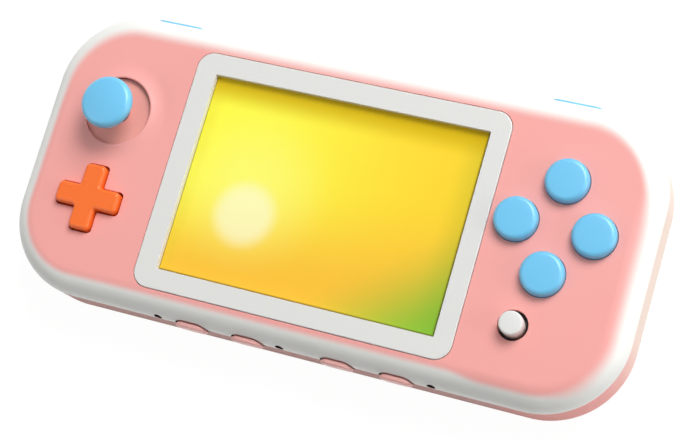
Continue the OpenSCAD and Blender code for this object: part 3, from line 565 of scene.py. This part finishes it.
def flexFilm():
    p = filmLook
    material, root, shader = startMaterial("flexFilm", Coat_Weight=p["coat"], Coat_Roughness=p["coatRough"])
    place, (x, _, _) = coordinates(root)
    tracks = x.wave(p["pitch"]).step(*p["trackEdge"])
    rough = p["rough"] + noise(root, place, p["roughScale"]) * p["spread"]
    bump = bumps(root, tracks, p["bump"], p["depth"])
    feed(root, shader, Base_Color=tracks.mix(p["base"], p["track"]), Roughness=rough, Normal=bump)
    return material


# painted shade: a dark brown on the walls of the slots, the sound holes and the stick well, where shade
# falls
paintedRecessShade = plasticMaterial("paintedRecessShade", srgb(58, 26, 22), matte)
# painted shadow: a darker pink on the broken mouths of the slots and at the foot of each edge button
grooveShade = plasticMaterial("grooveShade", srgb(206, 140, 134), matte)
finishes = {
    "shell_white": sprayedShell(),
    "shell_pink": sprayedRearWithPaintedLight(),
    "disc_pink": plasticMaterial("discPink", srgb(250, 172, 160), satin),
    "bezel_grey": plasticMaterial("bezelGrey", srgb(228, 228, 225), satin),
    "screen": screenPicture(),
    "diffuser": plasticMaterial("diffuserWhite", srgb(236, 236, 232), matte),
    "button_blue": plasticMaterial("buttonBlue", srgb(108, 198, 241), polish),
    "pad_orange": plasticMaterial("padOrange", srgb(255, 117, 42), gloss),
    "nub_white": plasticMaterial("nubWhite", srgb(232, 232, 229), satin),
    "edge_pink": plasticMaterial("edgePink", srgb(250, 186, 180), satin),
    "steel": brushedSteel(),
    # black plastic; its red-brown tint is painted reflected light from the pink walls around the nub hole
    "black_plastic": plasticMaterial("blackPlasticPaintedBounce", srgb(44, 22, 20), satin),
    "rubber_grey": plasticMaterial("rubberGrey", srgb(92, 92, 96), matte),
    "board_green": boardLacquer(),
    "battery_foil": batteryFoil(),
    "wire_red": plasticMaterial("wireRed", srgb(196, 40, 34), matte),
    "flex_amber": flexFilm(),
}
for part in frame["record"]["subparts"]:
    node = frame["nodes"][part["node"]]
    node.data.materials.clear()
    node.data.materials.append(finishes[part["material_slot"]])
print("finishes:", len(finishes))


# slots for the buttons in the edges, shared by both shells

edgeKeys = {
    "names": {"power_button": "powerButton", "select_button": "selectButton", "start_button": "startButton",
              "menu_button": "menuButton"},
    "finish": "edge_pink", "turn": 90, "side": -1,  # in the lower edge
    "w": 8.3, "h": 5.6, "corner": 2.4, "edge": 0.6, "foot": 33.0, "reach": 5.3,
    "flangeW": 0.6, "flangeH": 0.6, "flangeT": 1.0,
    "groove": 0.25, "grooveIn": 0.4, "neck": 0.35, "neckFrom": 30.0, "neckLong": 12.0,
}
shoulders = {
    "names": {"shoulder_left": "shoulderLeft", "shoulder_right": "shoulderRight"},
    "finish": "button_blue", "turn": -90, "side": 1,  # in the upper edge
    "w": 13.2, "h": 5.4, "corner": 2.0, "edge": 0.8, "foot": 33.3, "reach": 4.55,
    "flangeW": 0.6, "flangeH": 0.0, "flangeT": 1.0,
}
slots = {"gap": 0.25, "line": 0.2, "behind": 0.5, "depth": 8.0, "cornerSteps": 8, "from": 30.0,
         "mouthLean": 0.2}
soundHoles = {"x": (-34.8, -1.9, 37.3), "z": 15.0, "r": 1.1, "from": 35.0, "depth": 5.0, "sides": 32}


def edgeSlots():
    tools = []
    gap = slots["gap"]
    for sizes in (edgeKeys, shoulders):
        for node in sizes["names"]:
            at = middle(node)
            mouth = roundPlate(sizes["w"] + 2 * gap, sizes["h"] + 2 * gap, sizes["corner"] + gap, 0,
                               slots["cornerSteps"])
            start = sizes["side"] * (sizes["foot"] - slots["behind"])
            tools.append(tilt(lift(mouth, slots["depth"]), sizes["turn"], at.x, start, at.z))
    return tools


def shadeSlots(bm):  # painted shade: walls of the slots and sound holes take the second, dark material
    spots = []
    for sizes in (edgeKeys, shoulders):
        halfW, halfH = sizes["w"] / 2 + slots["gap"], sizes["h"] / 2 + slots["gap"]
        spots += [(middle(node), halfW, halfH, sizes["side"]) for node in sizes["names"]]
    r = soundHoles["r"]
    spots += [(Vector((x, 0, soundHoles["z"])), r, r, -1) for x in soundHoles["x"]]
    slack = closeBy["wall"]
    for f in bm.faces:
        at = f.calc_center_median()
        for spot, halfW, halfH, side in spots:
            near = abs(at.x - spot.x) < halfW + slack and abs(at.z - spot.z) < halfH + slack
            if near and side * at.y > slots["from"] and abs(f.normal.y) < steep:
                f.material_index = 1
    mouths = [e for e in bm.edges if len(e.link_faces) == 2 and
              e.link_faces[0].material_index != e.link_faces[1].material_index and
              all(f.material_index or abs(f.normal.y) > slots["mouthLean"] for f in e.link_faces)]
    # painted shadow line: the broken edge of each mouth takes the third, darker material
    bmesh.ops.bevel(bm, geom=mouths, offset=slots["line"], offset_type="OFFSET", segments=1, profile=0.5,
                    affect="EDGES", material=2, clamp_overlap=True)


# front shell

faceHoles = {"button": 5.48, "buttonSides": 72, "nub": 3.7, "nubSides": 64, "crossGap": 0.35,
             "crossSteps": 6, "bezelGap": 0.13, "from": 17.0, "through": 8.0}
panelPocket = {"w": 77.1, "d": 55.6, "corner": 1.0, "cornerSteps": 4, "from": 16.0, "h": 2.61}
stickRim = {"well": 8.8, "outer": 13.4, "height": 0.85, "lip": 0.4, "foot": 20.1, "under": 19.7,
            "pocket": 13.76, "steps": 96, "flankSteps": 12, "lipSteps": 8}
bezel = {"w": 83.4, "d": 62.0, "corner": 4.2, "edge": 0.3, "bottom": 18.6, "top": 20.2, "cornerSteps": 12,
         "edgeSteps": 4}
cross = {"span": 17.1, "arm": 5.6, "tip": 1.3, "nook": 0.55, "holeTip": 1.15, "holeNook": 0.3,
         "bottom": 15.6, "top": 21.9, "edge": 0.9, "edgeSteps": 7, "tipSteps": 8, "flange": 0.8,
         "flangeT": 1.0, "pegOut": 6.6, "pegR": 1.4, "pegDrop": 2.2, "pegIn": 0.2, "pegSides": 24}
faceNodes = {"button_top": "buttonTop", "button_right": "buttonRight", "button_bottom": "buttonBottom",
             "button_left": "buttonLeft"}


def rimProfile():
    s = stickRim
    top = casing["top"]
    crest = s["well"] + s["lip"]
    peak = top + s["height"]
    profile = []
    for i in range(s["flankSteps"] + 1):  # a hollow flare from the face up to the crest
        share = i / s["flankSteps"]
        profile.append((s["outer"] + (crest - s["outer"]) * share, top + s["height"] * share ** 2))
    for i in range(1, s["lipSteps"] + 1):  # a quarter round down into the well
        turn = math.pi / 2 * i / s["lipSteps"]
        profile.append((crest - s["lip"] * math.sin(turn), peak - s["lip"] * (1 - math.cos(turn))))
    return profile + [(s["well"], s["foot"]), (s["well"], s["under"]), (s["outer"], s["under"])]


def makeRim():
    s = stickRim
    ring = turned(rimProfile(), s["steps"])
    for f in ring.faces:  # painted shade: the foot of the wall is dark all round, and the shoulder side, away from the light, is dark up to the lip
        at = f.calc_center_median()
        if onRing(f, s["well"], closeBy["wall"]) and (at.y > 0 or at.z < s["foot"]):
            f.material_index = 1
    return ring


def faceCuts():
    h = faceHoles
    start, depth = h["from"], h["through"]
    gap = h["bezelGap"]
    seat = roundPlate(bezel["w"] + 2 * gap, bezel["d"] + 2 * gap, bezel["corner"] + gap, bezel["bottom"],
                      bezel["cornerSteps"])
    tools = [over(lift(seat, depth), "screen_bezel")]
    for node in faceNodes:
        tools.append(over(drum(h["button"], start, depth, h["buttonSides"]), node))
    tools.append(over(drum(h["nub"], start, depth, h["nubSides"]), "nub_cap"))
    gap = h["crossGap"]
    arm = cross["arm"] + 2 * gap
    mouth = crossPlate(cross["span"] + 2 * gap, arm, cross["holeTip"], start, h["crossSteps"])
    tools.append(over(lift(easeNooks(mouth, arm, cross["holeNook"]), depth), "dpad"))
    tools.append(over(drum(stickRim["outer"], start, depth, stickRim["steps"]), "dust_disc"))
    tools += edgeSlots()
    for x in soundHoles["x"]:
        hole = drum(soundHoles["r"], 0, soundHoles["depth"], soundHoles["sides"])
        tools.append(tilt(hole, 90, x, -soundHoles["from"], soundHoles["z"]))
    return tools


def makeFrontShell():
    c, s, k = casing, stickRim, panelPocket
    bm = lift(casingPlate(0, c["seam"]), c["top"] - c["seam"])
    soften(bm, edgesAt(bm, c["top"]), c["frontRound"], c["frontSteps"])
    soften(bm, edgesAt(bm, c["seam"]), c["seamBreak"], c["breakSteps"])
    ceiling = c["top"] - c["wall"]
    inside = lift(casingPlate(c["wall"], c["seam"] - past), ceiling - c["seam"] + past)
    soften(inside, edgesAt(inside, ceiling), c["frontRound"] - c["wall"], c["innerSteps"])
    bm = carve(bm, inside)
    bm = carve(bm, join(*faceCuts()))
    shadeSlots(bm)
    panel = lift(roundPlate(k["w"], k["d"], k["corner"], k["from"], k["cornerSteps"]), k["h"])
    disc = drum(s["pocket"], k["from"], s["under"] - k["from"], s["steps"])
    bm = carve(bm, join(over(panel, "lcd_panel"), over(disc, "dust_disc")))
    stick = middle("dust_disc")
    ring = (s["outer"], closeBy["wall"], stick.x, stick.y)
    rims = [e for e in holeRims(bm, c["top"]) if not onRing(e, *ring)]
    soften(bm, rims, c["rimBreak"], c["rimSteps"])
    wall = [f for f in bm.faces if onRing(f, *ring)]  # the rim takes its place
    bmesh.ops.delete(bm, geom=wall, context="FACES")
    join(bm, over(makeRim(), "dust_disc"))
    bmesh.ops.remove_doubles(bm, verts=bm.verts, dist=closeBy["seam"])
    return makeObject(bm, "frontShell", finishes["shell_white"], (paintedRecessShade, grooveShade))


standFor(makeFrontShell(), "front_shell", "casing")
print("front shell")


# rear shell

rearHoles = {
    "boss": 3.6, "bossFrom": 0.9, "bossTop": 8.0, "sink": 2.6, "sinkTop": 2.8, "sides": 40, "rimBreak": 0.25,
    "shank": 1.3, "shankFrom": 1.0, "shankLong": 9.0, "shankSides": 24, "screwsApart": 6.0,
    "portW": 9.5, "portH": 3.7, "portCorner": 1.6, "portSteps": 8, "portFrom": 34.5, "portDepth": 5.0,
}


def screwPlaces():
    node = frame["nodes"]["case_screws"]
    spots = []
    for v in node.data.vertices:
        x, y = v.co.x / mm, v.co.y / mm
        for spot in spots:
            if math.hypot(spot[0] - x, spot[1] - y) < rearHoles["screwsApart"]:
                spot[2].append((x, y))
                break
        else:
            spots.append((x, y, [(x, y)]))
    middles = []
    for _, _, points in spots:
        xs, ys = zip(*points)
        middles.append(((min(xs) + max(xs)) / 2, (min(ys) + max(ys)) / 2))
    return middles


def makeRearShell():
    c, h = casing, rearHoles
    bm = lift(casingPlate(0, 0), c["seam"])
    soften(bm, edgesAt(bm, 0), c["backRound"], c["backSteps"])
    soften(bm, edgesAt(bm, c["seam"]), c["seamBreak"], c["breakSteps"])
    inside = lift(casingPlate(c["wall"], c["wall"]), c["seam"])
    soften(inside, edgesAt(inside, c["wall"]), c["backRound"] - c["wall"], c["innerSteps"])
    bm = carve(bm, inside)

    def atScrews(r, z, height, sides):
        return [move(drum(r, z, height, sides), x, y, 0) for x, y in screwPlaces()]

    bosses = atScrews(h["boss"], h["bossFrom"], h["bossTop"] - h["bossFrom"], h["sides"])
    bm = carve(bm, join(*bosses), "UNION")
    sinks = atScrews(h["sink"], -past, h["sinkTop"] + past, h["sides"])
    port = middle("charge_port")
    inlet = lift(roundPlate(h["portW"], h["portH"], h["portCorner"], 0, h["portSteps"]), h["portDepth"])
    tilt(inlet, -90, port.x, h["portFrom"], port.z)
    bm = carve(bm, join(*sinks, *edgeSlots(), inlet))
    shadeSlots(bm)
    bm = carve(bm, join(*atScrews(h["shank"], h["shankFrom"], h["shankLong"], h["shankSides"])))
    soften(bm, holeRims(bm, 0), h["rimBreak"], c["breakSteps"])
    return makeObject(bm, "rearShell", finishes["shell_pink"], (paintedRecessShade, grooveShade))


standFor(makeRearShell(), "rear_shell", "casing")
print("rear shell")


# bezel and screen

screenPanel = {"corner": 0.6, "cornerSteps": 4, "edge": 0.1, "edgeSteps": 2}


def makeBezel():
    b, w = bezel, window
    height = b["top"] - b["bottom"]
    bm = pillow(b["w"], b["d"], height, b["corner"], b["edge"], b["bottom"], b["cornerSteps"],
                b["edgeSteps"])
    opening = roundPlate(w["w"], w["d"], w["corner"], b["bottom"] - past, w["cornerSteps"])
    lift(opening, height + 2 * past)
    bm = carve(over(bm, "screen_bezel"), over(opening, "lcd_panel"))
    soften(bm, holeRims(bm, b["top"]), w["edge"], casing["breakSteps"])
    return makeObject(bm, "screenBezel", finishes["bezel_grey"])


def makeScreen():
    s = screenPanel
    low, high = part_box("lcd_panel")
    size = (high - low) / mm
    bm = pillow(size.x, size.y, size.z, s["corner"], s["edge"], low.z / mm, s["cornerSteps"], s["edgeSteps"])
    return makeObject(over(bm, "lcd_panel"), "screenPanel", finishes["screen"])


standFor(makeBezel(), "screen_bezel", "casing")
standFor(makeScreen(), "lcd_panel", "casing")
print("bezel and screen")


# face buttons

faceButton = {"r": 5.35, "top": 22.5, "crown": 0.08, "edge": 1.2, "edgeSteps": 8, "flangeTop": 17.9,
              "flangeT": 1.0, "flangeR": 5.95, "plungerR": 2.6, "plungerZ": 13.4, "steps": 96}


def makeFaceButton(node, name):
    b = faceButton
    low = b["flangeTop"] - b["flangeT"]
    dome = [(b["r"] * share, b["top"] + b["crown"] * (1 - share ** 2)) for share in (0, 0.5, 1)]
    stem = [(b["r"], b["flangeTop"]), (b["flangeR"], b["flangeTop"]), (b["flangeR"], low),
            (b["plungerR"], low), (b["plungerR"], b["plungerZ"]), (0, b["plungerZ"])]
    bm = turned(dome + stem, b["steps"])
    soften(bm, ringAt(bm, b["r"], b["top"]), b["edge"], b["edgeSteps"])
    return makeObject(over(bm, node), name, finishes["button_blue"])


for node, name in faceNodes.items():
    standFor(makeFaceButton(node, name), node, node)
print("face buttons")


# direction pad

def makeCross():
    p = cross
    bm = crossPlate(p["span"], p["arm"], p["tip"], p["bottom"], p["tipSteps"])
    lift(easeNooks(bm, p["arm"], p["nook"]), p["top"] - p["bottom"])
    soften(bm, edgesAt(bm, p["top"]), p["edge"], p["edgeSteps"])
    wide = 2 * p["flange"]
    flange = lift(crossPlate(p["span"] + wide, p["arm"] + wide, p["tip"], p["bottom"]), p["flangeT"])
    pegs = []
    for i in range(4):  # one under each arm
        peg = drum(p["pegR"], p["bottom"] - p["pegDrop"], p["pegDrop"] + p["pegIn"], p["pegSides"])
        turn = i * math.pi / 2
        pegs.append(move(peg, p["pegOut"] * math.cos(turn), p["pegOut"] * math.sin(turn), 0))
    return makeObject(over(join(bm, flange, *pegs), "dpad"), "directionPad", finishes["pad_orange"])


standFor(makeCross(), "dpad", "dpad")
print("direction pad")


# thumb stick and nub

stickCap = {"r": 6.65, "bottom": 26.2, "top": 29.6, "edge": 1.15, "edgeSteps": 9, "foot": 0.9,
            "footSteps": 4, "crown": 0.75, "crownSteps": 6, "crownEnd": 1.06, "socketR": 2.25,
            "socketTop": 28.4, "steps": 96}
dustDisc = {"r": 11.17, "hole": 3.0, "bottom": 18.75, "top": 19.55}
nubCap = {"r": 2.9, "bottom": 20.6, "top": 23.2, "edge": 0.5, "edgeSteps": 6, "foot": 0.2, "footSteps": 2,
          "neckR": 2.8, "neckZ": 17.2, "socketR": 1.25, "socketTop": 18.6, "steps": 72}


def makeStickCap():
    s = stickCap
    rim = s["top"] - s["crown"]
    reach = 1 - s["crownEnd"] * s["edge"] / s["r"]  # the crown ends where the rounded edge starts
    shares = [reach * i / s["crownSteps"] for i in range(s["crownSteps"] + 1)]
    crown = [(s["r"] * share, s["top"] - s["crown"] * share ** 2) for share in shares]
    sides = [(s["r"], rim), (s["r"], s["bottom"]), (s["socketR"], s["bottom"]),
             (s["socketR"], s["socketTop"]), (0, s["socketTop"])]
    bm = turned(crown + sides, s["steps"])
    soften(bm, ringAt(bm, s["r"], rim), s["edge"], s["edgeSteps"])
    soften(bm, ringAt(bm, s["r"], s["bottom"]), s["foot"], s["footSteps"])
    return makeObject(over(bm, "stick_cap"), "stickCap", finishes["button_blue"])


def makeDustDisc():
    d = dustDisc
    section = [(d["hole"], d["top"]), (d["r"], d["top"]), (d["r"], d["bottom"]), (d["hole"], d["bottom"])]
    bm = turned(section + section[:1], stickRim["steps"])
    return makeObject(over(bm, "dust_disc"), "dustDisc", finishes["disc_pink"])


def makeNubCap():
    n = nubCap
    bm = turned([(0, n["top"]), (n["r"], n["top"]), (n["r"], n["bottom"]), (n["neckR"], n["bottom"]),
                 (n["neckR"], n["neckZ"]), (n["socketR"], n["neckZ"]), (n["socketR"], n["socketTop"]),
                 (0, n["socketTop"])], n["steps"])
    soften(bm, ringAt(bm, n["r"], n["top"]), n["edge"], n["edgeSteps"])
    soften(bm, ringAt(bm, n["r"], n["bottom"]), n["foot"], n["footSteps"])
    return makeObject(over(bm, "nub_cap"), "nubCap", finishes["nub_white"])


standFor(makeStickCap(), "stick_cap", "stick")
standFor(makeDustDisc(), "dust_disc", "dust_disc")
standFor(makeNubCap(), "nub_cap", "nub")
print("stick and nub")


# buttons in the edges

def cutGroove(bm, at, sizes):  # narrows the button where it passes the casing's wall, and paints that narrow part darker as painted shadow
    c, out, slim = casing, sizes["groove"], sizes["neck"]
    inner = c["wall"] + sizes["grooveIn"]
    tool = lift(casingPlate(-out, 0), c["top"] + out)
    soften(tool, edgesAt(tool, c["top"] + out), c["frontRound"] + out, c["frontSteps"])
    tool = carve(tool, lift(casingPlate(inner, -past), c["top"] + out + 2 * past))
    neck = roundPlate(sizes["w"] - 2 * slim, sizes["h"] - 2 * slim, sizes["corner"] - slim)
    start = sizes["side"] * (sizes["neckFrom"] - past)
    tool = carve(tool, tilt(lift(neck, sizes["neckLong"]), sizes["turn"], at.x, start, at.z))
    bm = carve(bm, tool)
    slack = closeBy["inset"]
    for f in bm.faces:
        spot = f.calc_center_median()
        outwards = sizes["side"] * spot.y - c["d"] / 2
        upwards = max(spot.z - c["top"] + c["frontRound"], 0)
        inCurve = math.hypot(outwards + c["frontRound"], upwards) < c["frontRound"] + out - slack
        if outwards > -inner - slack and inCurve:
            f.material_index = 1
    return bm


def makeEdgeButton(node, name, sizes):
    at = middle(node)
    bm = pillow(sizes["w"], sizes["h"], sizes["reach"], sizes["corner"], sizes["edge"])
    flangeW, flangeH = sizes["w"] + 2 * sizes["flangeW"], sizes["h"] + 2 * sizes["flangeH"]
    flange = lift(roundPlate(flangeW, flangeH, sizes["corner"]), sizes["flangeT"])
    bm = tilt(join(bm, flange), sizes["turn"], at.x, sizes["side"] * sizes["foot"], at.z)
    if "groove" in sizes:
        bm = cutGroove(bm, at, sizes)
    return makeObject(bm, name, finishes[sizes["finish"]], (grooveShade,))


for sizes in (edgeKeys, shoulders):
    for node, name in sizes["names"].items():
        standFor(makeEdgeButton(node, name, sizes), node, node)
print("edge buttons")


# floor, light and camera, in metres

studio = {
    "floor": srgb(246, 246, 244), "floorTint": 1.02, "tintScale": 0.01, "floorRough": 0.9,
    "floorHalf": 3.0, "floorParts": 8, "floorDrop": 0.0003,
    "white": 0.9, "paper": 1.06,  # share and strength of the white that the camera and mirrors see
    "sky": 0.20, "skyRight": 0.12, "skyBack": 0.14, "skyUp": 0.06,  # brighter to these sides
}
lamps = {
    "keyLamp": {"at": Vector((0.35, 0.68, 0.82)), "size": 0.7, "power": 10.6},
    "sideLamp": {"at": Vector((1.7, 0.1, 0.4)), "size": 0.9, "power": 7.0},
    "fillLamp": {"at": Vector((-1.0, -0.6, 1.05)), "size": 1.2, "power": 4.0},
}
lampAim = Vector((0, 0, 0.01))
view = {
    "at": (0.1474, -0.0810, 0.4336), "lens": 95.24, "sensor": 36.0,
    "up": Vector((-0.21292, 0.94489, 0.24870)), "back": Vector((0.31601, -0.17426, 0.93262)),
}


def seenDirectly(root):  # 1 for the camera and for mirror and glass rays
    path = root.node("LightPath").socket.node
    names = ("Is Camera Ray", "Is Glossy Ray", "Is Transmission Ray")
    camera, mirror, glass = [Wire(root.tree, path.outputs[name]) for name in names]
    return camera.math("MAXIMUM", mirror).math("MAXIMUM", glass)


def makeFloor():
    s = studio
    bm = bmesh.new()
    bmesh.ops.create_grid(bm, x_segments=s["floorParts"], y_segments=s["floorParts"], size=s["floorHalf"])
    move(bm, 0, 0, -s["floorDrop"])
    mesh = bpy.data.meshes.new("studioFloor")
    bm.to_mesh(mesh)
    bm.free()
    obj = bpy.data.objects.new("studioFloor", mesh)
    scene.collection.objects.link(obj)
    material, root, shader = startMaterial("paleFloor", Roughness=s["floorRough"])
    place, _ = coordinates(root)
    drift = noise(root, place, s["tintScale"])
    feed(root, shader, Base_Color=drift.mix(s["floor"], shade(s["floor"], s["floorTint"])))
    paper = root.node("Emission", None, {"Strength": s["paper"]})
    surface = Wire(root.tree, shader.outputs[0])
    both = root.node("MixShader", None, {0: seenDirectly(root) * s["white"], 1: surface, 2: paper})
    output = [n for n in root.tree.nodes if n.type == "OUTPUT_MATERIAL"][0]
    root.tree.links.new(both.socket, output.inputs["Surface"])
    obj.data.materials.append(material)


def makeLamp(name, lamp):
    data = bpy.data.lights.new(name, "AREA")
    data.shape = "DISK"
    data.size = lamp["size"]
    data.energy = lamp["power"]
    obj = bpy.data.objects.new(name, data)
    scene.collection.objects.link(obj)
    obj.location = lamp["at"]
    obj.rotation_euler = (lampAim - lamp["at"]).to_track_quat("-Z", "Y").to_euler()


def makeWorld():
    s = studio
    world = bpy.data.worlds.new("studioSky")
    scene.world = world
    world.use_nodes = True
    world.node_tree.nodes.clear()
    root = Wire(world.node_tree)
    right, back, above = root.node("TexCoord", None, None, "Generated").parts()
    level = (right * s["skyRight"] + back * s["skyBack"] + above * s["skyUp"] + s["sky"]).atLeastZero()
    strength = seenDirectly(root) * (1 - level) + level
    sky = root.node("Background", None, {"Color": (1, 1, 1, 1), "Strength": strength})
    root.node("OutputWorld", None, {"Surface": sky})


def makeCamera():
    right = view["up"].cross(view["back"])
    turn = Matrix((right, view["up"], view["back"])).transposed().to_4x4()
    data = bpy.data.cameras.new("studioCamera")
    data.lens = view["lens"]
    data.sensor_width = view["sensor"]
    obj = bpy.data.objects.new("studioCamera", data)
    scene.collection.objects.link(obj)
    obj.matrix_world = Matrix.Translation(view["at"]) @ turn
    scene.camera = obj


makeFloor()
for name, lamp in lamps.items():
    makeLamp(name, lamp)
makeWorld()
makeCamera()
scene.view_settings.view_transform = "Standard"
print("studio")
